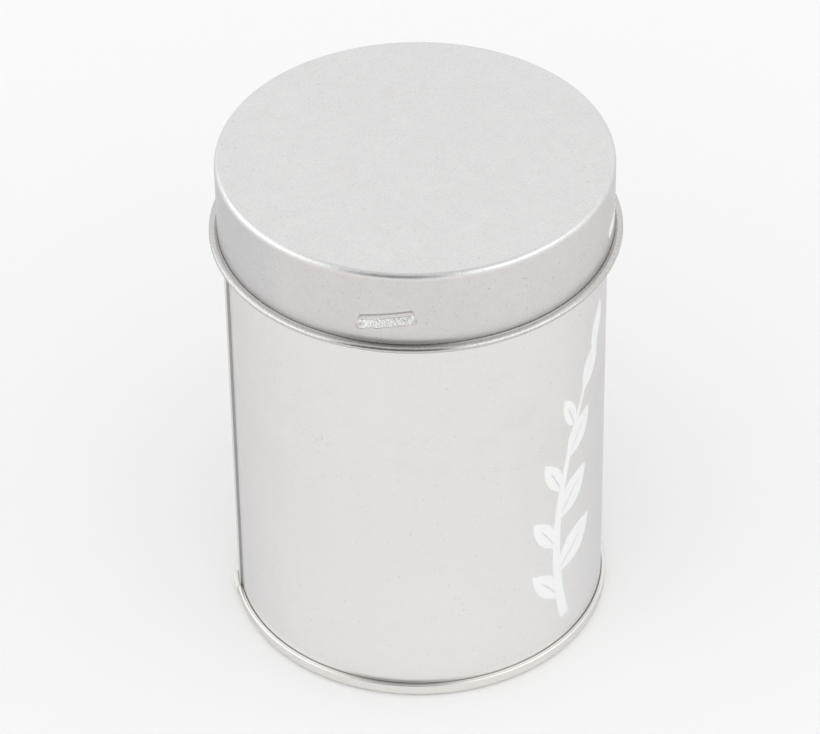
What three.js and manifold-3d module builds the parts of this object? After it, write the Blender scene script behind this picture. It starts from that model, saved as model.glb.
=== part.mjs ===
// Candle tin: a tall round tinplate can with a twist-lug lid, a seamed bottom end and a container candle.
// Millimetres, +Z up. The origin is the centre of the foot, and the front of the tin faces -Y.
// Angles round the tin are degrees from the front, growing towards +X.
import * as THREE from "three";
import { mergeVertices } from "three/addons/utils/BufferGeometryUtils.js";
import Module from "manifold-3d";

const SEGMENTS = 48; // facets round each turned piece
const SHEET = 0.3; // thickness of the drawn and rolled tinplate

// Lid
const TIN_HEIGHT = 91.25; // foot to lid top
const LID_RADIUS = 33.0; // outside of the skirt
const LID_CORNER = 1.1; // outside radius of the top edge
const CURL_WIDE = 0.85; // the lid's wire curl is an oval: half its outside width
const CURL_HIGH = 0.62; // and half its outside height
const CURL_HEIGHT = 76.8; // centre of the curl
const CURL_END = 480; // degrees turned by the curl, where 180 is the skirt

// Twist lugs, alike on the lid and on the neck of the body
const LUG_COUNT = 4;
const LUG_ANGLE = -8.7; // middle of the first lid lug, lid set on and not turned
const LUG_HEIGHT = 81.95; // height of that middle
const LUG_HALF_SPAN = 8.2; // degrees from the middle of a lug to its end
const LUG_RISE = 0.13; // mm of rise for each degree
const LUG_DEPTH = 0.6; // how far the sheet is pushed in or out
const LUG_TWIST = 22; // degrees from lid set on to lid locked
const LUG_PITCH = 2.2; // height of a neck lug over the lid lug locked under it

// Body
const BODY_RADIUS = 31.9; // outside of the wall
const MOUTH_HEIGHT = 89.75; // top of the mouth's safety curl
const MOUTH_CURL = 0.7; // outside radius of that curl
const SIDE_SEAM_ANGLE = -83; // middle of the lock seam
const SIDE_SEAM_HALF_SPAN = 3.5; // degrees
const SIDE_SEAM_INSIDE = 0.5; // folded plies that stand in from the wall
const SIDE_SEAM_OUTSIDE = 0.3; // how proud the seam is outside

// Bottom seam: five plies, each a hair clear of the next
const PLY = 0.21; // thickness of a pressed ply
const PLY_GAP = 0.06; // clearance between plies
const SEAM_HEIGHT = 2.75; // top of the rim over the foot
const FOOT_ROUND = 0.9; // outside radius where the rim turns under
const HOOK_TOP = 2.0; // top of the body's hook
const HOOK_FOOT = 0.9; // lower edge of the end's hook
const PANEL_HEIGHT = 3.0; // underside of the end's panel over the foot
const BEAD_INNER = 21; // stiffening bead of the panel
const BEAD_OUTER = 26;
const BEAD_RISE = 0.5;

// Candle
const FIT = 0.3; // clearance between the wax and what it was poured round
const WAX_LEVEL = 71.9;
const WICK_RADIUS = 1.2;
const WICK_TOP = 79.5;
const STICKER_RADIUS = 8.5;
const TAB_RADIUS = 10; // wick sustainer
const NECK_RADIUS = 1.9; // crimped neck of the sustainer
const NECK_BORE = 1.35;
const NECK_HEIGHT = 9.5;

const wasm = await Module();
wasm.setup();

// Points [radius, height] on an oval arc about centre [radius, height], degrees from the outward direction.
function ovalArc(centre, wide, high, from, to, steps) {
  return Array.from({ length: steps + 1 }, (_, i) => {
    const angle = THREE.MathUtils.degToRad(from + ((to - from) * i) / steps);
    return [centre[0] + wide * Math.cos(angle), centre[1] + high * Math.sin(angle)];
  });
}

function arc(centre, radius, from, to, steps) {
  return ovalArc(centre, radius, radius, from, to, steps);
}

// A body turned about Z from an anticlockwise outline of [radius, height] points.
// An outline that starts on the axis also ends on it; any other one closes on itself.
function turned(outline) {
  const loop = outline[0][0] === 0 ? outline : [...outline, outline[0]];
  const points = loop.map(([r, z]) => new THREE.Vector2(r, z));
  const geometry = new THREE.LatheGeometry(points, SEGMENTS);
  geometry.rotateX(Math.PI / 2);
  return geometry;
}

// A box bent round Z. place(u, v, w) gives [degrees, height, radius] of a point of the box,
// with u and v from -1 to 1 along and across the strip, and w from 0 to 1 through it.
function bent(steps, place) {
  const geometry = new THREE.BoxGeometry(2, 2, 1, steps, 1, 1);
  const position = geometry.attributes.position;
  for (let i = 0; i < position.count; i++) {
    const w = position.getZ(i) + 0.5;
    const [degrees, height, radius] = place(position.getX(i), position.getY(i), w);
    const angle = THREE.MathUtils.degToRad(degrees);
    position.setXYZ(i, radius * Math.sin(angle), -radius * Math.cos(angle), height);
  }
  return geometry;
}

function solidOf(geometry) {
  const bare = geometry.clone();
  bare.deleteAttribute("normal");
  bare.deleteAttribute("uv");
  const merged = mergeVertices(bare);
  const vertProperties = merged.attributes.position.array;
  const triVerts = new Uint32Array(merged.index.array);
  return new wasm.Manifold(new wasm.Mesh({ numProp: 3, vertProperties, triVerts }));
}

function geometryOf(solid) {
  const mesh = solid.getMesh();
  const geometry = new THREE.BufferGeometry();
  geometry.setAttribute("position", new THREE.BufferAttribute(mesh.vertProperties, 3));
  geometry.setIndex(new THREE.BufferAttribute(mesh.triVerts, 1));
  geometry.computeVertexNormals();
  return geometry;
}

// One pressing of a lug between two radii. It narrows towards its crest, and its ends slope.
// root and crest are [half span in degrees, half height, radius].
function lugPressing(middle, height, root, crest) {
  const mix = THREE.MathUtils.lerp;
  return bent(8, (u, v, w) => {
    const degrees = u * mix(root[0], crest[0], w);
    const rise = degrees * LUG_RISE;
    return [middle + degrees, height + rise + v * mix(root[1], crest[1], w), mix(root[2], crest[2], w)];
  });
}

// Presses a ring of lugs into a shell: side -1 pushes the sheet in towards the axis, and 1 pushes it out.
// hollowFace is the radius of the sheet's face on the side that the punch enters.
function withLugs(shell, middle, height, side, hollowFace) {
  const entry = hollowFace - side * SHEET; // the punch starts clear of the sheet
  const buried = hollowFace + side * SHEET * 0.5;
  const floor = hollowFace + side * LUG_DEPTH;
  const pit = [[LUG_HALF_SPAN + 0.6, 1.3, entry], [LUG_HALF_SPAN - 1.1, 0.6, floor]];
  const crest = floor + side * SHEET;
  const bump = [[LUG_HALF_SPAN + 0.5, 1.4, buried], [LUG_HALF_SPAN - 0.5, 0.9, crest]];
  let pressed = shell;
  for (let i = 0; i < LUG_COUNT; i++) {
    const turn = middle + (360 * i) / LUG_COUNT;
    pressed = pressed.add(facingOut(lugPressing(turn, height, ...bump), side));
    pressed = pressed.subtract(facingOut(lugPressing(turn, height, ...pit), side));
  }
  return pressed;
}

// A bent box whose radius shrinks with w comes out inside out, so its faces are turned round.
function facingOut(geometry, side) {
  if (side < 0) {
    const order = geometry.index.array;
    for (let i = 0; i < order.length; i += 3) {
      [order[i + 1], order[i + 2]] = [order[i + 2], order[i + 1]];
    }
  }
  return solidOf(geometry);
}

// Drawn lid: flat top, skirt, and the edge rolled outwards and up until it almost meets the skirt.
function lidShell() {
  const corner = [LID_RADIUS - LID_CORNER, TIN_HEIGHT - LID_CORNER];
  const curl = [LID_RADIUS - SHEET + CURL_WIDE, CURL_HEIGHT];
  const shell = turned([
    [0, TIN_HEIGHT - SHEET],
    ...arc(corner, LID_CORNER - SHEET, 90, 0, 3),
    ...ovalArc(curl, CURL_WIDE, CURL_HIGH, 180, CURL_END, 10),
    ...ovalArc(curl, CURL_WIDE - SHEET, CURL_HIGH - SHEET, CURL_END, 180, 8),
    ...arc(corner, LID_CORNER, 0, 90, 4),
    [0, TIN_HEIGHT],
  ]);
  return geometryOf(withLugs(solidOf(shell), LUG_ANGLE, LUG_HEIGHT, -1, LID_RADIUS));
}

// Sealing disc between the lid and the mouth.
function lidLiner() {
  const radius = LID_RADIUS - LID_CORNER;
  const top = TIN_HEIGHT - SHEET - 0.15;
  const bottom = MOUTH_HEIGHT + 0.1;
  return turned([[0, bottom], [radius, bottom], [radius, top], [0, top]]);
}

// Radii of the seam's plies, worked outwards from the wall.
const endHookIn = BODY_RADIUS + PLY_GAP;
const endHookOut = endHookIn + PLY;
const bodyHookIn = endHookOut + PLY_GAP;
const bodyHookOut = bodyHookIn + PLY;
const endWallIn = bodyHookOut + PLY_GAP;
const endWallOut = endWallIn + PLY;
const chuckWallOut = BODY_RADIUS - SHEET - PLY_GAP;
const chuckWallIn = chuckWallOut - PLY;
const footCentre = [endWallOut - FOOT_ROUND, FOOT_ROUND]; // all the seam's plies turn about it

// Folded plies of the lock seam, from just over the bottom seam to just under the mouth's curl.
function sideSeam() {
  const low = SEAM_HEIGHT + 0.6;
  const high = MOUTH_HEIGHT - 2 * MOUTH_CURL - 0.3;
  const inside = BODY_RADIUS - SHEET - SIDE_SEAM_INSIDE;
  const outside = BODY_RADIUS + SIDE_SEAM_OUTSIDE;
  return bent(2, (u, v, w) => [
    SIDE_SEAM_ANGLE + u * SIDE_SEAM_HALF_SPAN,
    v < 0 ? low : high,
    THREE.MathUtils.lerp(inside, outside, w),
  ]);
}

// Rolled wall: curled in at the mouth, and hooked outwards and up at the foot.
function tinBody() {
  const inner = BODY_RADIUS - SHEET;
  const hookRound = FOOT_ROUND - PLY - PLY_GAP;
  const curl = [BODY_RADIUS - MOUTH_CURL, MOUTH_HEIGHT - MOUTH_CURL];
  const wall = turned([
    [inner, FOOT_ROUND - hookRound + 0.1],
    ...arc(footCentre, hookRound, -90, 0, 4),
    [bodyHookOut, HOOK_TOP],
    [bodyHookIn, HOOK_TOP],
    ...arc(footCentre, hookRound - PLY, 0, -75, 3),
    [BODY_RADIUS, FOOT_ROUND - hookRound + PLY + 0.05],
    ...arc(curl, MOUTH_CURL, 0, 285, 9),
    ...arc(curl, MOUTH_CURL - SHEET, 285, 0, 7),
  ]);
  const seamed = solidOf(wall).add(solidOf(sideSeam()));
  const neckAngle = LUG_ANGLE - LUG_TWIST;
  return geometryOf(withLugs(seamed, neckAngle, LUG_HEIGHT + LUG_PITCH, 1, inner));
}

// Stamped end: beaded panel, chuck wall down to the foot, out and up outside the body's hook, and down inside it.
function bottomEnd() {
  const floor = PANEL_HEIGHT + SHEET;
  return turned([
    [0, PANEL_HEIGHT],
    [BEAD_INNER, PANEL_HEIGHT],
    [BEAD_INNER + 1, PANEL_HEIGHT + BEAD_RISE],
    [BEAD_OUTER - 1, PANEL_HEIGHT + BEAD_RISE],
    [BEAD_OUTER, PANEL_HEIGHT],
    [chuckWallIn - 0.2, PANEL_HEIGHT],
    [chuckWallIn, PANEL_HEIGHT - 0.2],
    [chuckWallIn, 0.15],
    [chuckWallIn + 0.15, 0],
    ...arc(footCentre, FOOT_ROUND, -90, 0, 4),
    [endWallOut, SEAM_HEIGHT - 0.2],
    [endWallOut - 0.2, SEAM_HEIGHT],
    [endHookIn + 0.2, SEAM_HEIGHT],
    [endHookIn, SEAM_HEIGHT - 0.2],
    [endHookIn, HOOK_FOOT],
    [endHookOut, HOOK_FOOT],
    [endHookOut, SEAM_HEIGHT - PLY],
    [endWallIn, SEAM_HEIGHT - PLY],
    ...arc(footCentre, FOOT_ROUND - PLY, 0, -90, 4),
    [chuckWallOut, PLY],
    [chuckWallOut, floor - 0.3],
    [chuckWallOut - 0.3, floor],
    [BEAD_OUTER, floor],
    [BEAD_OUTER - 1, floor + BEAD_RISE],
    [BEAD_INNER + 1, floor + BEAD_RISE],
    [BEAD_INNER, floor],
    [0, floor],
  ]);
}

// Ring of compound that fills the seam over the body's hook.
function seamCompound() {
  const low = HOOK_TOP + PLY_GAP;
  const high = SEAM_HEIGHT - PLY - PLY_GAP;
  return turned([[bodyHookIn, low], [bodyHookOut, low], [bodyHookOut, high], [bodyHookIn, high]]);
}

// Foam disc stuck to the panel, and the stamped tab on it with its crimped neck.
const stickerBottom = PANEL_HEIGHT + SHEET + 0.1;
const stickerTop = stickerBottom + 0.7;
const tabBottom = stickerTop + 0.1;
const tabTop = tabBottom + SHEET;

function wickSticker() {
  return turned([[0, stickerBottom], [STICKER_RADIUS, stickerBottom], [STICKER_RADIUS, stickerTop], [0, stickerTop]]);
}

function wickSustainer() {
  return turned([
    [NECK_BORE, tabBottom],
    [TAB_RADIUS, tabBottom],
    [TAB_RADIUS, tabTop],
    [NECK_RADIUS + 0.3, tabTop],
    [NECK_RADIUS, tabTop + 0.3],
    [NECK_RADIUS, NECK_HEIGHT],
    [NECK_BORE, NECK_HEIGHT],
  ]);
}

function wick() {
  const round = WICK_RADIUS * 0.3;
  return turned([
    [0, tabBottom + 0.1],
    [WICK_RADIUS, tabBottom + 0.1],
    [WICK_RADIUS, WICK_TOP - round],
    [WICK_RADIUS - round, WICK_TOP],
    [0, WICK_TOP],
  ]);
}

// Poured wax: it stands up a little where it wets the wall and the wick.
function waxFill() {
  const wall = BODY_RADIUS - SHEET - FIT;
  const floor = PANEL_HEIGHT + SHEET + FIT;
  const bore = WICK_RADIUS + FIT;
  const neck = NECK_RADIUS + FIT;
  const wax = turned([
    [TAB_RADIUS + FIT, floor],
    [BEAD_INNER, floor],
    [BEAD_INNER + 1, floor + BEAD_RISE],
    [BEAD_OUTER - 1, floor + BEAD_RISE],
    [BEAD_OUTER, floor],
    [wall, floor],
    [wall, WAX_LEVEL + 0.5],
    [wall - 0.8, WAX_LEVEL + 0.15],
    [wall - 2.4, WAX_LEVEL],
    [bore + 4.5, WAX_LEVEL],
    [bore + 0.8, WAX_LEVEL + 0.3],
    [bore, WAX_LEVEL + 0.7],
    [bore, NECK_HEIGHT + FIT],
    [neck, NECK_HEIGHT + FIT],
    [neck, tabTop + FIT + 0.3],
    [neck + 0.3, tabTop + FIT],
    [TAB_RADIUS + FIT, tabTop + FIT],
  ]);
  const notch = bent(2, (u, v, w) => [
    SIDE_SEAM_ANGLE + u * (SIDE_SEAM_HALF_SPAN + 0.6),
    v < 0 ? floor - 1 : WAX_LEVEL + 1,
    THREE.MathUtils.lerp(wall - SIDE_SEAM_INSIDE, BODY_RADIUS, w),
  ]);
  return geometryOf(solidOf(wax).subtract(solidOf(notch)));
}

const tin = new THREE.Group();

function addPiece(name, geometry, color, roughness, metalness) {
  const material = new THREE.MeshStandardMaterial({ color, roughness, metalness });
  const mesh = new THREE.Mesh(geometry, material);
  mesh.name = name;
  tin.add(mesh);
}

addPiece("lid_shell", lidShell(), 0xcfcfcd, 0.45, 0.9);
addPiece("lid_liner", lidLiner(), 0xf2f2ee, 0.85, 0);
addPiece("tin_body", tinBody(), 0xcdccca, 0.42, 0.9);
addPiece("bottom_end", bottomEnd(), 0xc6c5c2, 0.38, 0.9);
addPiece("seam_compound", seamCompound(), 0x8f8a80, 0.8, 0);
addPiece("wax_fill", waxFill(), 0xf3ecd9, 0.5, 0);
addPiece("wick", wick(), 0xf4f1e6, 0.95, 0);
addPiece("wick_sustainer", wickSustainer(), 0xbfc0c0, 0.35, 0.9);
addPiece("wick_sticker", wickSticker(), 0xf6f6f4, 0.9, 0);

export default tin;
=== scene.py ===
"""A tall round candle tin in satin tinplate: seamed foot, rolled wall with a lock seam and a white printed
sprig, twist-lug lid with a wire curl, and inside it the liner, wax, wick, tab and sticker of the candle.
Metres, +Z up; the front of the tin faces -Y. Angles round it are degrees from the front, towards +X."""
import math

import bmesh
import bpy
import numpy as np
from mathutils import Matrix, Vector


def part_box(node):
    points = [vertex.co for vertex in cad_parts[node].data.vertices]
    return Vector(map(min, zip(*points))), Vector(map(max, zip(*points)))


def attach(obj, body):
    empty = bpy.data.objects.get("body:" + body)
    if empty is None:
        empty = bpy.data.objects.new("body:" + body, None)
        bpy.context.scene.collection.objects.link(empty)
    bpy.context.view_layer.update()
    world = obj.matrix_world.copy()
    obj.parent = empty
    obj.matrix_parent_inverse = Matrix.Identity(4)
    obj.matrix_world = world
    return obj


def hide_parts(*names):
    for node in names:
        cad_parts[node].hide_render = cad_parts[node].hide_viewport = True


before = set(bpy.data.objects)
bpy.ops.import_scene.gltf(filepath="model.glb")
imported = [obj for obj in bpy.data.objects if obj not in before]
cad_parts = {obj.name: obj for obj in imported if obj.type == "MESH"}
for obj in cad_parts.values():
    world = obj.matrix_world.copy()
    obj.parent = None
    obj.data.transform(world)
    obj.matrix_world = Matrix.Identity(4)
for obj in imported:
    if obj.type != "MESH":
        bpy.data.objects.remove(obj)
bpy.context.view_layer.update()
MM = 0.001

# Camera: a long lens on a stand in front of the tin, looking down on its lid from about forty degrees.
camera_distance = 745.8 * MM
camera_height_angle = math.radians(41.469)
camera = bpy.data.objects.new("camera", bpy.data.cameras.new("camera"))
camera.data.sensor_width = 36
camera.data.lens = 184.25
camera.data.clip_start = 0.05
camera.data.clip_end = 20
aim = Matrix.Rotation(math.radians(90 - 38.69), 4, "X")
pan = Matrix.Rotation(math.radians(0.107), 4, "Y")
roll = Matrix.Rotation(math.radians(-0.794), 4, "Z")
stand_back = camera_distance * math.cos(camera_height_angle)
stand_up = camera_distance * math.sin(camera_height_angle)
camera.matrix_world = Matrix.Translation((0, -stand_back, stand_up)) @ aim @ pan @ roll
bpy.context.scene.collection.objects.link(camera)
bpy.context.scene.camera = camera

# Studio: a white tent. Polished metal sees two soft boxes glowing through it, to the left and right of the
# front, and between them the darker opening that the lens looks through. The floor just gets its even
# light, which is a little stronger from the front.


class Value:
    """A shader socket that works in sums: each operator adds the Math node of its own name."""

    def __init__(self, tree, socket):
        self.tree = tree
        self.socket = socket

    def math(self, operation, *inputs, clamp=False):
        node = self.tree.nodes.new("ShaderNodeMath")
        node.operation = operation
        node.use_clamp = clamp
        for slot, value in zip(node.inputs, inputs):
            plug(self.tree, slot, value)
        return Value(self.tree, node.outputs[0])

    def __add__(self, other):
        return self.math("ADD", self, other)

    def __sub__(self, other):
        return self.math("SUBTRACT", self, other)

    def __rsub__(self, other):
        return self.math("SUBTRACT", other, self)

    def __mul__(self, other):
        if isinstance(other, tuple):
            return self.stretch(other)
        return self.math("MULTIPLY", self, other)

    def stretch(self, factors):
        """A vector with its x, y and z multiplied by these three numbers."""
        node = self.tree.nodes.new("ShaderNodeVectorMath")
        node.operation = "MULTIPLY"
        plug(self.tree, node.inputs[0], self)
        plug(self.tree, node.inputs[1], factors)
        return Value(self.tree, node.outputs[0])

    def __truediv__(self, other):
        return self.math("DIVIDE", self, other)

    def __pow__(self, power):
        return self.math("POWER", self, power)

    def __abs__(self):
        return self.math("ABSOLUTE", self)

    __radd__ = __add__
    __rmul__ = __mul__

    def largest(self, other):
        return self.math("MAXIMUM", self, other)

    def step(self, low, high):
        """0 below low, 1 above high and a straight ramp between; with low over high it falls instead."""
        return self.math("DIVIDE", self - low, high - low, clamp=True)

    def band(self, low, high, soft):
        """1 between low and high, falling to 0 over soft on either side."""
        return self.step(low - soft, low) * self.step(high + soft, high)


def plug(tree, slot, value):
    """Links a Value to a socket, or sets the socket to a plain number or colour."""
    if isinstance(value, Value):
        tree.links.new(value.socket, slot)
    elif slot.type == "VECTOR":
        slot.default_value = value[:3]
    else:
        slot.default_value = value


class Finish:
    """A node tree being painted. add() makes any node: its type, its settings, then its sockets."""

    def __init__(self, owner):
        owner.use_nodes = True
        self.owner = owner
        self.tree = owner.node_tree
        self.tree.nodes.clear()

    def add(self, kind, settings=None, sockets=None, output=0):
        node = self.tree.nodes.new("ShaderNode" + kind)
        for key, value in (settings or {}).items():
            setattr(node, key, value)
        for key, value in (sockets or {}).items():
            plug(self.tree, node.inputs[key], value)
        return Value(self.tree, node.outputs[output])

    def split(self, vector):
        """The x, y and z of a vector, as three Values."""
        node = self.tree.nodes.new("ShaderNodeSeparateXYZ")
        plug(self.tree, node.inputs[0], vector)
        return [Value(self.tree, node.outputs[i]) for i in range(3)]

    def mix(self, factor, first, second):
        """first where factor is 0 and second where it is 1; both are colours."""
        node = self.tree.nodes.new("ShaderNodeMix")
        node.data_type = "RGBA"
        for key, value in ((0, factor), (6, first), (7, second)):
            plug(self.tree, node.inputs[key], value)
        return Value(self.tree, node.outputs[2])

    def noise(self, place, scale, detail=2.0, roughness=0.5):
        """Soft random value from 0 to 1 with about scale lumps in a metre."""
        sockets = {"Vector": place, "Scale": scale, "Detail": detail, "Roughness": roughness}
        return self.add("TexNoise", {}, sockets)

    def place(self):
        """Position on the piece in metres, in the tin's own frame."""
        return self.add("TexCoord", output=3)

    def bump(self, height, distance, strength=1.0):
        """Normal of a surface whose relief is height times distance."""
        return self.add("Bump", {}, {"Height": height, "Distance": distance, "Strength": strength})

    def output(self, surface, kind="OutputMaterial"):
        """Ends the tree with this shader, and gives back the world or the material."""
        node = self.tree.nodes.new("ShaderNode" + kind)
        plug(self.tree, node.inputs["Surface"], surface)
        return self.owner

    def surface(self, sockets):
        """The finished material: one Principled surface with these sockets."""
        return self.output(self.add("BsdfPrincipled", {}, sockets))


world = bpy.data.worlds.new("light_tent")
bpy.context.scene.world = world
tent = Finish(world)
tent_x, tent_y, tent_z = tent.split(tent.add("TexCoord", output=0))
flat_length = (tent_x * tent_x + tent_y * tent_y + 1e-6) ** 0.5


def sector(middle, half, soft):
    """1 where the direction's angle on the ground is within half degrees of middle, 0 from half + soft on.
    The ramp is in the cosine of the angle between them: (x sin m - y cos m) / sqrt(x * x + y * y)."""
    angle = math.radians(middle)
    cosine = (tent_x * math.sin(angle) - tent_y * math.cos(angle)) / flat_length
    return cosine.step(math.cos(math.radians(half + soft)), math.cos(math.radians(half)))


box_height = tent_z.band(0.1, 0.62, 0.2)
left_box = sector(-88, 38, 12) * box_height * 0.55
right_box = sector(58, 28, 14) * box_height * 0.55
opening = sector(-12, 24, 12) * tent_z.band(0.06, 0.82, 0.1) * 0.86
roof = tent_z.step(0.8, 0.95) * 0.3
tent_glow = 1.02 + left_box + right_box - roof - opening
even_glow = 1.04 - tent_y * 0.5
is_camera = tent.add("LightPath", output=0)
is_glossy = tent.add("LightPath", output=3)
glow = tent_glow * is_glossy + even_glow * (1 - is_glossy) * (1 - is_camera) + is_camera * 0.93
tent.output(tent.add("Background", {}, {"Color": (1, 1, 1, 1), "Strength": glow}), "OutputWorld")
bpy.context.scene.view_settings.view_transform = "Standard"
bpy.context.scene.view_settings.look = "None"

# Floor: a wide sheet of white card that the tin stands on.
floor_size = 6.0
floor_mesh = bpy.data.meshes.new("floor")
corners = [(-1, -1), (1, -1), (1, 1), (-1, 1)]
floor_mesh.from_pydata([(x * floor_size / 2, y * floor_size / 2, 0) for x, y in corners], [], [(0, 1, 2, 3)])
floor = bpy.data.objects.new("floor", floor_mesh)
bpy.context.scene.collection.objects.link(floor)
card = Finish(bpy.data.materials.new("floor_card"))
card_grain = card.noise(card.place(), 900)
card_white = card.mix(card_grain, (0.925, 0.925, 0.925, 1), (0.935, 0.935, 0.935, 1))
floor_mesh.materials.append(card.surface({"Base Color": card_white, "Roughness": 0.9}))

# Bottom end: a disc stamped from tinplate with a stiffening bead, seamed on to the wall. Its edge runs down
# the inside of the wall, under it, up outside the wall's hook, and in and down between hook and wall.
ply = 0.21 * MM
ply_gap = 0.06 * MM
seam_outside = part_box("bottom_end")[1].x
foot_round = 1.1 * MM
wall_outside = seam_outside - 3 * (ply + ply_gap)
end_sheet = 0.3 * MM
seam_top = 2.6 * MM
panel_under = 3.0 * MM
bead_rise = 0.5 * MM
chuck_inside = wall_outside - end_sheet - ply_gap - ply
side_seam_middle = -82.2  # degrees, as is half its width
side_seam_half = 3.5
side_seam_proud = 0.36 * MM


def rounded(corners):
    """Outline through corners (radius, height, rounding). Each corner becomes the arc of that rounding which
    touches both its sides: its ends lie rounding / tan(half the corner's angle) from the corner."""
    points = np.array([corner[:2] for corner in corners], float)
    outline = []
    for i, (r, z, rounding) in enumerate(corners):
        if rounding == 0:
            outline.append([[r, z]])
            continue
        back = points[i - 1] - points[i]
        on = points[(i + 1) % len(points)] - points[i]
        back, on = back / np.linalg.norm(back), on / np.linalg.norm(on)
        half = math.acos(np.clip(back @ on, -1, 1)) / 2
        middle = points[i] + (back + on) / np.linalg.norm(back + on) * rounding / math.sin(half)
        start = points[i] + back * rounding / math.tan(half) - middle
        end = points[i] + on * rounding / math.tan(half) - middle
        first = math.atan2(start[1], start[0])
        sweep = (math.atan2(end[1], end[0]) - first + math.pi) % (2 * math.pi) - math.pi
        turn = first + sweep * np.linspace(0, 1, 3 + int(abs(sweep) / 0.2))
        outline.append(middle + rounding * np.stack([np.cos(turn), np.sin(turn)], 1))
    return np.concatenate(outline)


def around(coarse, *fine):
    """Angles of one full turn in degrees, from -150: coarse steps, and the step given inside each
    (low, high, step)."""
    full = np.arange(-150, 210, coarse)
    for low, high, step in fine:
        full = np.concatenate([full[(full < low) | (full > high)], np.arange(low, high + step / 2, step)])
    return np.unique(np.round(full, 4))


def turned(name, outline, degrees, press=None):
    """A piece turned about Z: outline point (r, z) at angle a is (r sin a, -r cos a, z), where
    press(degrees, r, z) gives what is first added to r. Outlines run anticlockwise. They close on
    themselves, unless they start and end on Z."""
    angle, row = np.meshgrid(degrees, np.arange(len(outline)), indexing="ij")
    r, z = outline[row, 0], outline[row, 1]
    if press:
        r = r + press(angle, r, z)
    turn = np.radians(angle)
    points = np.stack([r * np.sin(turn), -r * np.cos(turn), z], axis=-1).reshape(-1, 3)
    on_axis = outline[0, 0] < 1e-9
    rows = len(outline) - 1 if on_axis else len(outline)
    column_start, row = np.meshgrid(np.arange(len(degrees)), np.arange(rows), indexing="ij")
    next_start = (column_start + 1) % len(degrees) * len(outline)
    column_start = column_start * len(outline)
    next_row = (row + 1) % len(outline)
    corners_of_quad = [column_start + row, next_start + row, next_start + next_row, column_start + next_row]
    quads = np.stack(corners_of_quad, axis=-1).reshape(-1, 4)
    mesh = bpy.data.meshes.new(name)
    mesh.from_pydata(points.tolist(), [], quads.tolist())
    if on_axis:
        weld_poles(mesh)
    mesh.shade_smooth()
    mesh.set_sharp_from_angle(angle=math.radians(40))
    piece = bpy.data.objects.new(name, mesh)
    bpy.context.scene.collection.objects.link(piece)
    return piece


def weld_poles(mesh):
    """Joins the points that lie together on the Z axis into one."""
    work = bmesh.new()
    work.from_mesh(mesh)
    poles = [v for v in work.verts if v.co.x**2 + v.co.y**2 < 1e-18]
    bmesh.ops.remove_doubles(work, verts=poles, dist=1e-8)
    work.to_mesh(mesh)
    work.free()


def ease(x, low, high):
    """Smooth rise from 0 at low to 1 at high: t * t * (3 - 2 t)."""
    t = np.clip((x - low) / (high - low), 0, 1)
    return t * t * (3 - 2 * t)


def ripple(degrees, z, seed):
    """Slight unevenness of rolled sheet, about 1 at most: the sum over n of
    sin(n a + phase) sin(z * pitch + shift) / n."""
    draws = np.random.default_rng(seed)
    total = np.zeros_like(degrees)
    for waves in (2, 3, 5, 7, 11):
        phase, lean, shift = draws.uniform(0, 2 * np.pi, 3)
        along = np.sin(z * 35 * (1 + lean / 6) + shift)
        total += np.sin(np.radians(degrees) * waves + phase) * along / waves
    return total


def side_seam_step(degrees):
    """1 on the folded plies of the lock seam: a crisp step at the fold, a long slope on the far side."""
    fold = side_seam_middle + side_seam_half
    return ease(degrees, fold - 8.4, fold - 6.8) * (1 - ease(degrees, fold - 0.12, fold + 0.02))


def end_press(degrees, r, z):
    """Over the lock seam the outer plies swell by 1.1 of the fold's height, less towards the foot."""
    outer = r > wall_outside - 0.02 * MM
    return np.where(outer, side_seam_proud * 1.1 * side_seam_step(degrees) * ease(z, 0.2 * MM, 1.6 * MM), 0)


def bead(height, rounding):
    """The four corners of the stiffening bead, from the inner one out, in a face that lies at this height."""
    return [
        (20.5 * MM, height, rounding),
        (21.6 * MM, height + bead_rise, 0.8 * MM),
        (25.4 * MM, height + bead_rise, 0.8 * MM),
        (26.5 * MM, height, rounding),
    ]


end_corners = [
    (0, panel_under, 0),
    *bead(panel_under, 1.2 * MM),
    (chuck_inside, panel_under, 0.45 * MM),
    (chuck_inside, 0, 0.12 * MM),
    (seam_outside, 0, foot_round),
    (seam_outside, seam_top, 0.3 * MM),
    (wall_outside + ply_gap, seam_top, 0.2 * MM),
    (wall_outside + ply_gap, 0.9 * MM, 0.04 * MM),
    (wall_outside + ply_gap + ply, 0.9 * MM, 0.04 * MM),
    (wall_outside + ply_gap + ply, seam_top - ply, 0.1 * MM),
    (seam_outside - ply, seam_top - ply, 0.12 * MM),
    (seam_outside - ply, ply, foot_round - ply),
    (chuck_inside + ply, ply, 0.05 * MM),
    (chuck_inside + ply, panel_under + end_sheet, 0.6 * MM),
    *bead(panel_under + end_sheet, 1.2 * MM)[::-1],
    (0, panel_under + end_sheet, 0),
]
seam_angles = (side_seam_middle - 6, side_seam_middle + 5, 0.1)
bottom_end = turned("stamped_bottom_end", rounded(end_corners), around(1.0, seam_angles), end_press)


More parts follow.
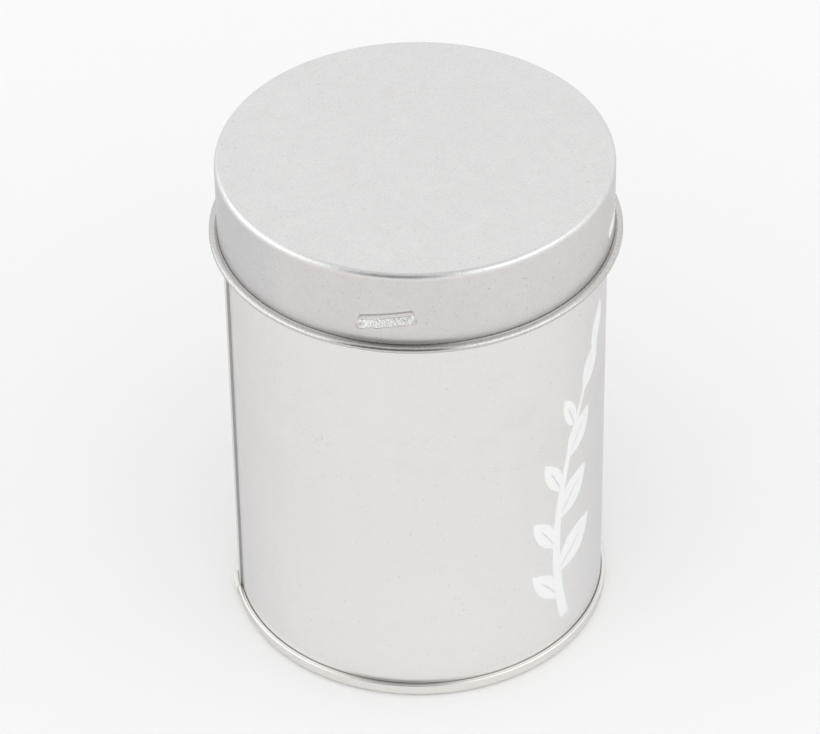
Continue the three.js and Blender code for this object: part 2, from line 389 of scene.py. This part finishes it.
def tinplate(name, colour, roughness, grain, specks, extra=None):
    """Satin tinplate. The colour is tint * (1 - shade): a fine pale and dark grain over slow clouds. Over it
    lie small dark pits, thicker in some places, and dark takes the colour down to that of scuffed iron.
    extra(finish, place) may give another tint, and more dark, relief and shine; on the wall and the lid these
    hold painted light and shade as well as stains and wear."""
    finish = Finish(bpy.data.materials.new(name))
    place = finish.place()
    clouds = finish.noise(place, 70, 4.0, 0.6)
    fine = finish.noise(place, 3400, 3.0, 0.7)
    blotches = finish.noise(place, 500, 3.0)
    crowd = finish.noise(place, 45).step(0.4, 0.75)
    dark = 0.0
    for scale, share, size in ((1700.0, specks * 3, 0.3), (640.0, specks * 0.7, 0.17)):
        cells = {"Vector": place, "Scale": scale}
        from_middle = finish.add("TexVoronoi", {"feature": "F1"}, cells)
        cell_colour = finish.add("TexVoronoi", {"feature": "F1"}, cells, output=1)
        draw = finish.add("SeparateColor", {}, {0: cell_colour})
        chosen = (draw - 1 + crowd * share).step(0, 0.002)
        dark = from_middle.step(size, size * 0.4) * chosen * 0.3 + dark
    shade = ((0.5 - fine) + (0.5 - blotches) * 0.3 + (0.5 - clouds) * 0.25) * grain
    tint, relief, shine = (*colour, 1), fine * 0.1, (clouds - 0.5) * 0.06
    if extra:
        tint, more_dark, more_relief, more_shine = extra(finish, place)
        dark, relief, shine = dark + more_dark, relief + more_relief, shine + more_shine
    grained = finish.add("VectorMath", {"operation": "SCALE"}, {0: tint, "Scale": 1 - shade})
    sockets = {
        "Base Color": finish.mix(dark.step(0, 1), grained, tuple(c * 0.3 for c in colour) + (1,)),
        "Metallic": 1.0,
        "Specular Tint": (0.83, 0.83, 0.85, 1),
        "Roughness": (shine + roughness).step(0, 1),
        "Normal": finish.bump(relief, 0.012 * MM),
    }
    return finish, sockets


end_finish, end_sockets = tinplate("end_tinplate_satin", (0.82, 0.795, 0.765), 0.3, 0.1, 0.02)
bottom_end.data.materials.append(end_finish.surface(end_sockets))
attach(bottom_end, "tin")
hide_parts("bottom_end")

# Seam compound: a bead of rubbery lining run into the end's edge before it is closed. It fills the top of
# the seam over the wall's hook and makes it tight.
compound_low, compound_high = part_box("seam_compound")
compound_inside = compound_high.x - ply
compound_corners = [
    (compound_inside, compound_low.z, 0.03 * MM),
    (compound_high.x, compound_low.z, 0.03 * MM),
    (compound_high.x, compound_high.z, 0.08 * MM),
    (compound_inside, compound_high.z, 0.08 * MM),
]
compound = turned("seam_compound_ring", rounded(compound_corners), around(1.5))
lining = Finish(bpy.data.materials.new("sealing_compound"))
lining_lumps = lining.noise(lining.place(), 1500)
lining_sockets = {
    "Base Color": lining.mix(lining_lumps, (0.5, 0.46, 0.41, 1), (0.6, 0.57, 0.52, 1)),
    "Roughness": 0.75,
    "Normal": lining.bump(lining_lumps, 0.02 * MM),
}
compound.data.materials.append(lining.surface(lining_sockets))
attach(compound, "tin")
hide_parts("seam_compound")

# Wall: a sheet of printed tinplate rolled round and locked in a folded side seam. Its mouth is curled in,
# four lugs are pressed out of its neck, and its foot is hooked out and up into the bottom seam.
wall_sheet = 0.25 * MM
mouth_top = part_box("tin_body")[1].z
mouth_curl = 0.7 * MM
hook_top = 2.0 * MM
lug_turn = -8.7  # degrees to the middle of a lid lug, as are half a lug's span and the twist that locks it
lug_half_span = 8.2
lug_twist = 22
lug_height = 81.95 * MM
lug_rise = 0.105 * MM  # for each degree
neck_lug_depth = 0.6 * MM
neck_lug_height = lug_height + 2.2 * MM


def oval(middle, wide, high, first, last, steps):
    """Points middle + (wide cos t, high sin t) for t from first to last degrees."""
    t = np.radians(np.linspace(first, last, steps))
    return np.stack([middle[0] + wide * np.cos(t), middle[1] + high * np.sin(t)], 1)


def lug_shape(degrees, z, middle, height, up):
    """1 on the floor of the four pressed lugs, 0 off them. Across a lug the sheet slopes in over 1.35 mm and
    comes out with a short round on the side that holds, the upper one where up is 1 and the lower where it
    is -1. Each lug rises as it goes round."""
    along = (degrees - middle + 45) % 90 - 45
    across = up * (z - height - along * lug_rise) / MM
    ends = 1 - ease(np.abs(along), lug_half_span - 1.2, lug_half_span + 0.2)
    end = np.clip((np.abs(along) - lug_half_span + 2.0) / 2.3, 0, 0.999)
    across = across / np.sqrt(1 - end**2)
    slope = np.clip((across + 1.3) / 1.35, 0, 1)
    lip = ease(1.24 - across, 0, 0.6)
    return ends * np.minimum(slope, lip)


def wall_press(degrees, r, z):
    """The sum of the sheet's unevenness, which dies out at the foot and under the lid, the lock seam's plies
    outside and inside, the groove beside its fold, and the neck lugs pressed out."""
    open_wall = ease(z, 4 * MM, 12 * MM) * (1 - ease(z, 70 * MM, 76 * MM))
    push = 0.018 * MM * ripple(degrees, z, 4) * open_wall
    step = side_seam_step(degrees)
    outer = r > wall_outside - 0.03 * MM
    fold = side_seam_middle + side_seam_half
    groove = np.exp(-(((degrees - fold - 0.22) / 0.16) ** 2)) * 0.05 * MM
    below_curl = 1 - ease(z, 88.2 * MM, 88.9 * MM)
    push += np.where(outer, (side_seam_proud * step - groove) * below_curl, 0)
    plies = ease(degrees, fold - 7.2, fold - 6.8) * (1 - ease(degrees, fold - 0.3, fold))
    inside_run = ease(z, 3.6 * MM, 3.9 * MM) * (1 - ease(z, 88.0 * MM, 88.6 * MM))
    inner = (r > wall_outside - 0.4 * MM) & ~outer
    push -= np.where(inner, 0.5 * MM * plies * inside_run, 0)
    return push + neck_lug_depth * lug_shape(degrees, z, lug_turn - lug_twist, neck_lug_height, -1)


foot_centre = (seam_outside - foot_round, foot_round)
hook_round = foot_round - ply - ply_gap
curl_centre = (wall_outside - mouth_curl, mouth_top - mouth_curl)
lug_rows = np.arange(86.9, 81.2, -0.22) * MM


def column(r, heights):
    """A straight run of outline at radius r."""
    return np.stack([np.full(len(heights), r), heights], 1)


wall_inside = wall_outside - wall_sheet
wall_outline = np.concatenate([
    column(wall_inside, lug_rows),
    column(wall_inside, np.array([76, 70, 60, 50, 40, 30, 20, 12, 6, 3.9, 3.6, 2, 0.9]) * MM),
    oval(foot_centre, hook_round, hook_round, -85, 0, 9),
    [[seam_outside - ply - ply_gap, hook_top], [seam_outside - 2 * ply - ply_gap, hook_top]],
    oval(foot_centre, hook_round - ply, hook_round - ply, 0, -75, 7),
    column(wall_outside, np.array([0.6, 1.6, 3, 4, 6, 9, 12, 20, 30, 40, 50, 60, 65, 70, 73, 76]) * MM),
    column(wall_outside, lug_rows[::-1]),
    oval(curl_centre, mouth_curl, mouth_curl, 0, 290, 20),
    oval(curl_centre, mouth_curl - wall_sheet, mouth_curl - wall_sheet, 290, 0, 14),
])
neck_lug_middles = [lug_turn - lug_twist + 90 * k for k in range(-1, 3)]
neck_lug_angles = [(middle - 9, middle + 9, 0.3) for middle in neck_lug_middles]
fold_angles = (side_seam_middle + side_seam_half - 0.8, side_seam_middle + side_seam_half + 0.8, 0.04)
wall_angles = around(1.0, seam_angles, fold_angles, *neck_lug_angles)
wall = turned("rolled_wall", wall_outline, wall_angles, wall_press)


def turn_from_front(finish, place):
    """Angle round the tin in radians, from the front towards +X: the arc tangent of x over -y."""
    x, y = finish.split(place)[:2]
    return finish.add("Math", {"operation": "ARCTAN2"}, {0: x, 1: y * -1})


def from_axis(finish, place):
    """Distance from the tin's axis: the length of (x, y, 0)."""
    return finish.add("VectorMath", {"operation": "LENGTH"}, {0: place * (1, 1, 0)}, output=1)


def unrolled(finish, place):
    """The wall laid flat, in millimetres: the arc from the front, growing towards +X, and the height."""
    height = finish.split(place)[2]
    return turn_from_front(finish, place) * (wall_outside / MM), height * (1 / MM)


def sprig(across, up):
    """White printed sprig. Its stem follows 28.2 + 9 w - 24 w (1 - w) millimetres at w of its height, and
    each leaf that grows from it is 4 t (1 - t) of its width at t of its length, with a bare rib."""
    foot, tip, lean_over = 7.5, 61.0, 9.0

    def stem_at(height):
        """Where the stem is across, at a height: works on numbers and on Values."""
        wave = (height - foot) * (1 / (tip - foot))
        return wave * lean_over - wave * (1 - wave) * 24.0 + 28.2

    stem = up.step(tip, foot) * 0.75 + 0.4 - abs(across - stem_at(up))
    mask = stem.step(-0.05, 0.05) * up.band(foot, tip, 0.1)
    for i in range(8):
        height = 12.5 + 5.9 * i
        side = 1 if i % 2 else -1
        lean = math.radians(side * (48 - 3 * i) + 8)
        length = 12.5 - 0.5 * i if side > 0 else 10.5 - 0.4 * i
        half_width = length * (0.26 if side > 0 else 0.19)
        right = across - stem_at(height)
        above = up - height
        t = (right * math.sin(lean) + above * math.cos(lean)) * (1 / length)
        bend = 0.9 if side > 0 else -0.4
        off = abs(right * math.cos(lean) - above * math.sin(lean) + t * (1 - t) * bend)
        leaf = (t * (1 - t) * (4 * half_width) - off).step(-0.05, 0.05)
        rib = off.step(0.12, 0.2).largest(t.step(0.6, 0.7))
        mask = mask.largest(leaf * rib)
    bud_t = (up - tip + 1.5) * (1 / 9.0)
    bud = bud_t * (1 - bud_t) * 8.0 - abs(across - stem_at(tip) - bud_t * 3.2 + 0.5)
    return mask.largest(bud.step(-0.05, 0.05))


def wall_stains_and_painted_light(finish, place):
    """Dirt and a painted shade lie in the fold of the lock seam. The sheet's tone changes in slow bands round
    the wall, a painted light makes it lighter towards the foot, and where it is handled it has reddish smears
    with clusters of rust specks."""
    across, up = unrolled(finish, place)
    fold = math.radians(side_seam_middle + side_seam_half) * wall_outside / MM
    outer_face = from_axis(finish, place).step(wall_outside - 0.2 * MM, wall_outside - 0.15 * MM)
    # Painted shade of the fold's crevice, together with the dirt on its raw edge.
    fold_dirt_and_shade = across.band(fold - 0.05, fold + 0.05, 0.06) * outer_face
    bands = finish.noise(place * (1, 1, 0.2), 110)
    tint = finish.mix(bands.step(0.3, 0.7), (0.8, 0.778, 0.755, 1), (0.785, 0.775, 0.755, 1))
    # Painted light: the wall is lighter towards the foot, standing in for the bright floor it reflects.
    tint = finish.mix(up.step(38, 8), tint, (0.83, 0.82, 0.81, 1))
    handled = up.band(52, 66, 12)
    smears = finish.noise(place * (1, 1, 1.4), 120, 4.0, 0.65).step(0.5, 0.72) * handled
    tint = finish.mix(smears * 0.28, tint, (0.74, 0.67, 0.63, 1))
    clusters = finish.noise(place * (1, 1, 1.8), 75, 2.0).step(0.53, 0.67) * handled
    rust = finish.noise(place, 2300, 2.0, 0.6).step(0.59, 0.68) * clusters
    tint = finish.mix(rust * 0.45, tint, (0.5, 0.4, 0.33, 1))
    return tint, fold_dirt_and_shade * 0.8, 0.0, bands * 0.02


wall_colour = (0.795, 0.78, 0.76)
wall_finish, wall_sockets = tinplate("wall_tinplate_printed", wall_colour, 0.3, 0.105, 0.03, wall_stains_and_painted_light)
ink = sprig(*unrolled(wall_finish, wall_finish.place()))
wall_sockets["Base Color"] = wall_finish.mix(ink, wall_sockets["Base Color"], (0.79, 0.8, 0.79, 1))
wall_sockets["Metallic"] = 1 - ink
wall_sockets["Roughness"] = wall_sockets["Roughness"] * (1 - ink) + ink * 0.38
wall.data.materials.append(wall_finish.surface(wall_sockets))
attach(wall, "tin")
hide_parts("tin_body")

# Wick sticker: a die-cut disc of white foam with glue on both faces, stuck in the middle of the bottom.
sticker_low, sticker_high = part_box("wick_sticker")
sticker_corners = [
    (0, sticker_low.z, 0),
    (sticker_high.x, sticker_low.z, 0.05 * MM),
    (sticker_high.x - 0.03 * MM, sticker_high.z, 0.15 * MM),
    (0, sticker_high.z, 0),
]
sticker = turned("foam_wick_sticker", rounded(sticker_corners), around(2.0))


def foam(name, colour, cell_scale):
    """Closed-cell foam: a skin of small round cells, with a painted shade that darkens the hollows between
    them.
    """
    finish = Finish(bpy.data.materials.new(name))
    place = finish.place()
    cell = finish.add("TexVoronoi", {"feature": "F1"}, {"Vector": place, "Scale": cell_scale})
    swell = finish.noise(place, cell_scale / 12)
    shade = tuple(c * 0.9 for c in colour)
    sockets = {
        "Base Color": finish.mix(cell.step(0.35, 0.9), (*colour, 1), (*shade, 1)),
        "Roughness": 0.62 + swell * 0.2,
        "Normal": finish.bump(swell * 0.6 - cell, 0.05 * MM, 0.7),
    }
    return finish.surface(sockets)


sticker.data.materials.append(foam("sticker_foam_white", (0.9, 0.9, 0.88), 2200.0))
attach(sticker, "tin")
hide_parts("wick_sticker")

# Wick tab: a small disc of bright tinplate with a neck drawn up in the middle and pinched round the wick.
tab_low, tab_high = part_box("wick_sustainer")
tab_sheet = 0.3 * MM
tab_bore = 1.35 * MM
tab_neck_foot = 2.0 * MM
tab_neck_top = 1.9 * MM
tab_corners = [
    (tab_bore, tab_low.z, 0.1 * MM),
    (tab_high.x, tab_low.z, 0.05 * MM),
    (tab_high.x, tab_low.z + tab_sheet, 0.05 * MM),
    (tab_neck_foot, tab_low.z + tab_sheet, 0.35 * MM),
    (tab_neck_top, tab_high.z, 0.08 * MM),
    (tab_bore, tab_high.z, 0.08 * MM),
]


def tab_press(degrees, r, z):
    """The neck is pinched near its top by four crimping jaws, each a bump of cos(2 a) to the eighth."""
    jaw = np.cos(np.radians(degrees * 2)) ** 8
    return -0.12 * MM * jaw * ease(z, 6.2 * MM, 7.4 * MM) * (r < 2.2 * MM) * (r > 1.6 * MM)


tab_outline = rounded(tab_corners)
rise = np.linspace(5.2, 9.2, 12) * MM
tab_split = int(np.argmax(tab_outline[:, 1] > 9.2 * MM))
tab_outline = np.insert(tab_outline, tab_split, column(1.95 * MM, rise), axis=0)
tab = turned("wick_tab", tab_outline, around(3.0), tab_press)
tab_finish, tab_sockets = tinplate("tab_tinplate_bright", (0.74, 0.74, 0.73), 0.22, 0.06, 0.02)
tab.data.materials.append(tab_finish.surface(tab_sockets))
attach(tab, "tin")
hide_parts("wick_sustainer")

# Wick: a round braid of cotton dipped in wax, cut square about seven millimetres over the candle.
wick_low, wick_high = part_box("wick")
wick_radius = wick_high.x
strands = 4
braid_pitch = 4.2 * MM


def wick_press(degrees, r, z):
    """Two sets of strands wound opposite ways, ribs of |cos(2 a + climb)| and |cos(2 a - climb)| to the power
    0.7: the higher of the two shows."""
    turn = np.radians(degrees)
    climb = 2 * np.pi * z / braid_pitch
    one = np.abs(np.cos(strands / 2 * turn + climb))
    two = np.abs(np.cos(strands / 2 * turn - climb))
    rib = np.maximum(one, two) ** 0.7 * 0.28 * MM - 0.28 * MM
    return np.where(r > wick_radius * 0.6, rib, 0)


wick_rows = np.arange(wick_low.z, wick_high.z - 0.3 * MM, 0.25 * MM)
wick_outline = np.concatenate([
    [[0, wick_low.z]],
    column(wick_radius, wick_rows),
    [[wick_radius * 0.97, wick_high.z - 0.15 * MM], [wick_radius * 0.8, wick_high.z], [0, wick_high.z]],
])
wick = turned("cotton_wick_braid", wick_outline, around(7.5), wick_press)
cotton = Finish(bpy.data.materials.new("cotton_waxed"))
cotton_place = cotton.place()
cotton_fibre = cotton.noise(cotton_place, 5200, 4.0, 0.7)
cotton_tone = cotton.noise(cotton_place, 600)
cotton_sockets = {
    "Base Color": cotton.mix(cotton_fibre.step(0.3, 0.7), (0.72, 0.68, 0.58, 1), (0.9, 0.87, 0.79, 1)),
    "Roughness": 0.7 + cotton_tone * 0.25,
    "Sheen Weight": 0.3,
    "Normal": cotton.bump(cotton_fibre, 0.06 * MM),
}
wick.data.materials.append(cotton.surface(cotton_sockets))
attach(wick, "tin")
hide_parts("wick")

# Wax: poured soft round the tab and the wick. As it sets it sinks a little, stays up where it wets the wall
# and the wick, and takes the shape of the bead below and of the side seam.
wax_low, wax_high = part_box("wax_fill")
wax_wall = wax_high.x
wax_level = 71.9 * MM
wax_fit = 0.3 * MM
wax_floor = wax_low.z
wax_corners = [
    (tab_high.x + wax_fit, wax_floor, 0),
    *bead(wax_floor, 1.0 * MM),
    (wax_wall, wax_floor, 0.5 * MM),
    (wax_wall, wax_level + 0.5 * MM, 0.08 * MM),
    (wax_wall - 0.5 * MM, wax_level + 0.1 * MM, 0.5 * MM),
    (wax_wall - 6 * MM, wax_level - 0.05 * MM, 8 * MM),
    (12 * MM, wax_level - 0.05 * MM, 8 * MM),
    (4.5 * MM, wax_level, 3 * MM),
    (2.2 * MM, wax_level + 0.3 * MM, 0.8 * MM),
    (1.5 * MM, wax_level + 0.7 * MM, 0.1 * MM),
    (1.5 * MM, tab_high.z + wax_fit, 0),
    (2.2 * MM, tab_high.z + wax_fit, 0),
    (2.2 * MM, tab_low.z + tab_sheet + wax_fit + 0.3 * MM, 0),
    (2.5 * MM, tab_low.z + tab_sheet + wax_fit, 0),
    (tab_high.x + wax_fit, tab_low.z + tab_sheet + wax_fit, 0),
]


def wax_press(degrees, r, z):
    """The side of the candle is pushed in by 0.55 mm where the plies of the lock seam stand inside."""
    fold = side_seam_middle + side_seam_half
    seam = ease(degrees, fold - 8.4, fold - 7.6) * (1 - ease(degrees, fold + 0.3, fold + 1.1))
    return np.where(r > wax_wall - 0.9 * MM, -0.55 * MM * seam, 0)


wax_outline = rounded(wax_corners)
wax = turned("poured_wax", wax_outline, around(1.5, seam_angles[:2] + (0.4,)), wax_press)
soy = Finish(bpy.data.materials.new("candle_wax_soft"))
soy_place = soy.place()
soy_frost = soy.noise(soy_place, 160, 5.0, 0.6)
soy_skin = soy.noise(soy_place, 900, 3.0)
soy_sockets = {
    "Base Color": soy.mix(soy_frost.step(0.35, 0.7), (0.93, 0.88, 0.74, 1), (0.95, 0.92, 0.83, 1)),
    "Roughness": 0.34 + soy_frost * 0.28,
    "Subsurface Weight": 0.35,
    "Subsurface Radius": (0.006, 0.004, 0.002),
    "Subsurface Scale": 1.0,
    "Normal": soy.bump(soy_frost * 0.8 + soy_skin * 0.25, 0.12 * MM),
}
wax.data.materials.append(soy.surface(soy_sockets))
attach(wax, "tin")
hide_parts("wax_fill")

# Liner: a disc of white foam pressed up into the lid, which the mouth's curl bites into when the lid turns.
liner_low, liner_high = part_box("lid_liner")
liner_corners = [
    (0, liner_low.z, 0),
    (liner_high.x - 1.9 * MM, liner_low.z, 0.6 * MM),
    (liner_high.x - 1.1 * MM, liner_low.z + 0.12 * MM, 0.5 * MM),
    (liner_high.x, liner_low.z + 0.1 * MM, 0.12 * MM),
    (liner_high.x, liner_high.z, 0.2 * MM),
    (0, liner_high.z, 0),
]
liner = turned("foam_lid_liner", rounded(liner_corners), around(1.0))
liner.data.materials.append(foam("liner_foam_white", (0.88, 0.88, 0.86), 1500.0))
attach(liner, "liner")
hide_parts("lid_liner")

# Lid: drawn from one disc of matte tinplate. Its edge is rolled out and up into a wire curl, and four
# sloping lugs are pressed into its skirt, so that a short turn draws it down under the lugs on the neck.
lid_low, lid_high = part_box("lid_shell")
lid_sheet = 0.25 * MM
lid_top = lid_high.z - 0.12 * MM
lid_radius = 33.0 * MM
lid_corner = 0.8 * MM
lid_corner_high = 1.25 * MM
lid_curl_wide = (lid_high.x - lid_radius + lid_sheet) / 2
lid_curl_high = 0.64 * MM
lid_curl_height = lid_low.z + lid_curl_high + 0.01 * MM
lid_lug_depth = 0.6 * MM


def lid_press(degrees, r, z):
    """The drawn skirt is slightly out of round between its curl and its top edge, and the lugs go in."""
    skirt = ease(z, 77.8 * MM, 80 * MM) * (1 - ease(z, 88 * MM, 90.5 * MM))
    uneven = 0.012 * MM * ripple(degrees, z, 9) * skirt
    in_skirt = (r > lid_radius - 0.4 * MM) & (r < lid_radius + 0.01 * MM) & (z > 78.3 * MM)
    return uneven - np.where(in_skirt, lid_lug_depth * lug_shape(degrees, z, lug_turn, lug_height, 1), 0)


corner_centre = (lid_radius - lid_corner, lid_top - lid_corner_high)
lid_curl_centre = (lid_radius - lid_sheet + lid_curl_wide, lid_curl_height)
lid_inside = lid_radius - lid_sheet
press_rows = np.concatenate([[78, 78.7], np.arange(79.3, 84.5, 0.08), [85.5, 87, 88.5]]) * MM
lid_outline = np.concatenate([
    [[0, lid_top - lid_sheet]],
    np.stack([np.array([12, 24, 29]) * MM, np.full(3, lid_top - lid_sheet)], 1),
    oval(corner_centre, lid_corner - lid_sheet, lid_corner_high - lid_sheet, 90, 0, 8),
    column(lid_inside, press_rows[::-2]),
    oval(lid_curl_centre, lid_curl_wide, lid_curl_high, 180, 490, 27),
    oval(lid_curl_centre, lid_curl_wide - lid_sheet, lid_curl_high - lid_sheet, 490, 180, 16),
    column(lid_radius, press_rows),
    oval(corner_centre, lid_corner, lid_corner_high, 0, 90, 16),
    np.stack([np.array([29, 24, 18, 12, 6]) * MM, np.full(5, lid_top)], 1),
    [[0, lid_top]],
])
lug_angles = [(lug_turn + 90 * k - 9.2, lug_turn + 90 * k + 9.2, 0.25) for k in range(-1, 3)]
lid = turned("drawn_lid", lid_outline, around(1.2, *lug_angles), lid_press)


def lid_wear_and_painted_light(finish, place):
    """The drawn skirt is warmer and duller than the gritty top and a little lighter from 30 to 90 degrees
    round, with a painted shade on its left side; the wire curl is greyer still, with a painted shade below.
    Over the lugs and the top edge, where it was stretched, the sheet is crinkled, and the lugs' ledges are
    tinted near white as a painted highlight.
    Painted shade lies along the lugs' upper lips, at their ends and over the curl; there are pits near the
    top's edge."""
    z = finish.split(place)[2]
    degrees = turn_from_front(finish, place) * (180 / math.pi)
    along = finish.add("Math", {"operation": "WRAP"}, {0: degrees - lug_turn, 1: 45, 2: -45})
    across = z - lug_height - along * lug_rise
    ragged = across + (finish.noise(place * (1, 1, 0.3), 1900, 1.0) - 0.5) * 0.7 * MM
    inward = abs(along).step(lug_half_span - 0.1, lug_half_span - 1.2)
    ledge_and_highlight = inward * ragged.step(-1.36 * MM, -1.24 * MM) * across.step(0.06 * MM, -0.06 * MM)
    wrinkles = finish.noise(place * (1, 1, 0.45), 3600, 2.0, 0.6)
    edge = z.step(lid_top - lid_corner_high, lid_top - 0.6 * MM)
    rim = z.step(lid_top - 0.12 * MM, lid_top - 0.25 * MM)
    curl = z.step(lid_low.z + 1.5 * MM, lid_low.z + 1.2 * MM)
    # Painted shade on the underside of the curl.
    under = z.step(lid_low.z + 0.55 * MM, lid_low.z + 0.15 * MM)
    specks = finish.noise(place, 2300, 2.0)
    patches = finish.noise(place, 130, 3.0, 0.6).step(0.64, 0.76)
    grit = finish.noise(place, 2900, 3.0, 0.7).step(0.3, 0.7)
    top = finish.mix(grit, (0.705, 0.702, 0.698, 1), (0.785, 0.782, 0.778, 1))
    skirt = finish.mix(degrees.band(30, 90, 25), (0.675, 0.643, 0.625, 1), (0.685, 0.66, 0.645, 1))
    # Painted shade: the skirt is cooler and darker on its left side, from -80 to -48 degrees.
    skirt = finish.mix(degrees.band(-80, -48, 9), skirt, (0.628, 0.618, 0.618, 1))
    skirt = finish.mix(edge, skirt, top)
    skirt = finish.mix(patches * 0.35, skirt, (0.69, 0.66, 0.62, 1))
    # The ledges' near-white tint is a painted highlight; the crinkles over them are relief.
    tint = finish.mix(ledge_and_highlight, finish.mix(curl, skirt, (0.65, 0.635, 0.615, 1)), (0.97, 0.97, 0.96, 1))
    # Painted shade along each lug's upper lip, just above its pressed-in edge.
    lip = abs(along).step(lug_half_span - 0.3, lug_half_span - 1.1)
    lip = lip * across.band(1.0 * MM, 1.42 * MM, 0.14 * MM)
    # Painted shade at the lower ends of each lug's sloping ledge.
    lug_end_shade = abs(along).band(lug_half_span - 0.4, lug_half_span + 0.3, 0.5)
    lug_end_shade = lug_end_shade * across.band(-1.2 * MM, -0.6 * MM, 0.4 * MM)
    near_edge = from_axis(finish, place).step(25 * MM, 32 * MM)
    pits = finish.noise(place, 2600, 2.0).step(0.66, 0.72) * near_edge * 0.35
    # Painted shade over the curl and the foot of the skirt, beside the crevice between them.
    curl_crevice_shade = z.step(lid_low.z + 3.2 * MM, lid_low.z + 1.3 * MM) * 0.1
    dark = curl * specks.step(0.55, 0.3) * 0.2 + under * 0.16 + lip * 0.6 + lug_end_shade * 0.25 + pits + curl_crevice_shade
    return tint, dark, wrinkles * (ledge_and_highlight * 13 + rim * edge * 5), curl * -0.12 - ledge_and_highlight * 0.04


lid_colour = (0.74, 0.735, 0.73)
lid_finish, lid_sockets = tinplate("lid_tinplate_matte", lid_colour, 0.34, 0.24, 0.05, lid_wear_and_painted_light)
lid.data.materials.append(lid_finish.surface(lid_sockets))
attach(lid, "lid")
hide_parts("lid_shell")
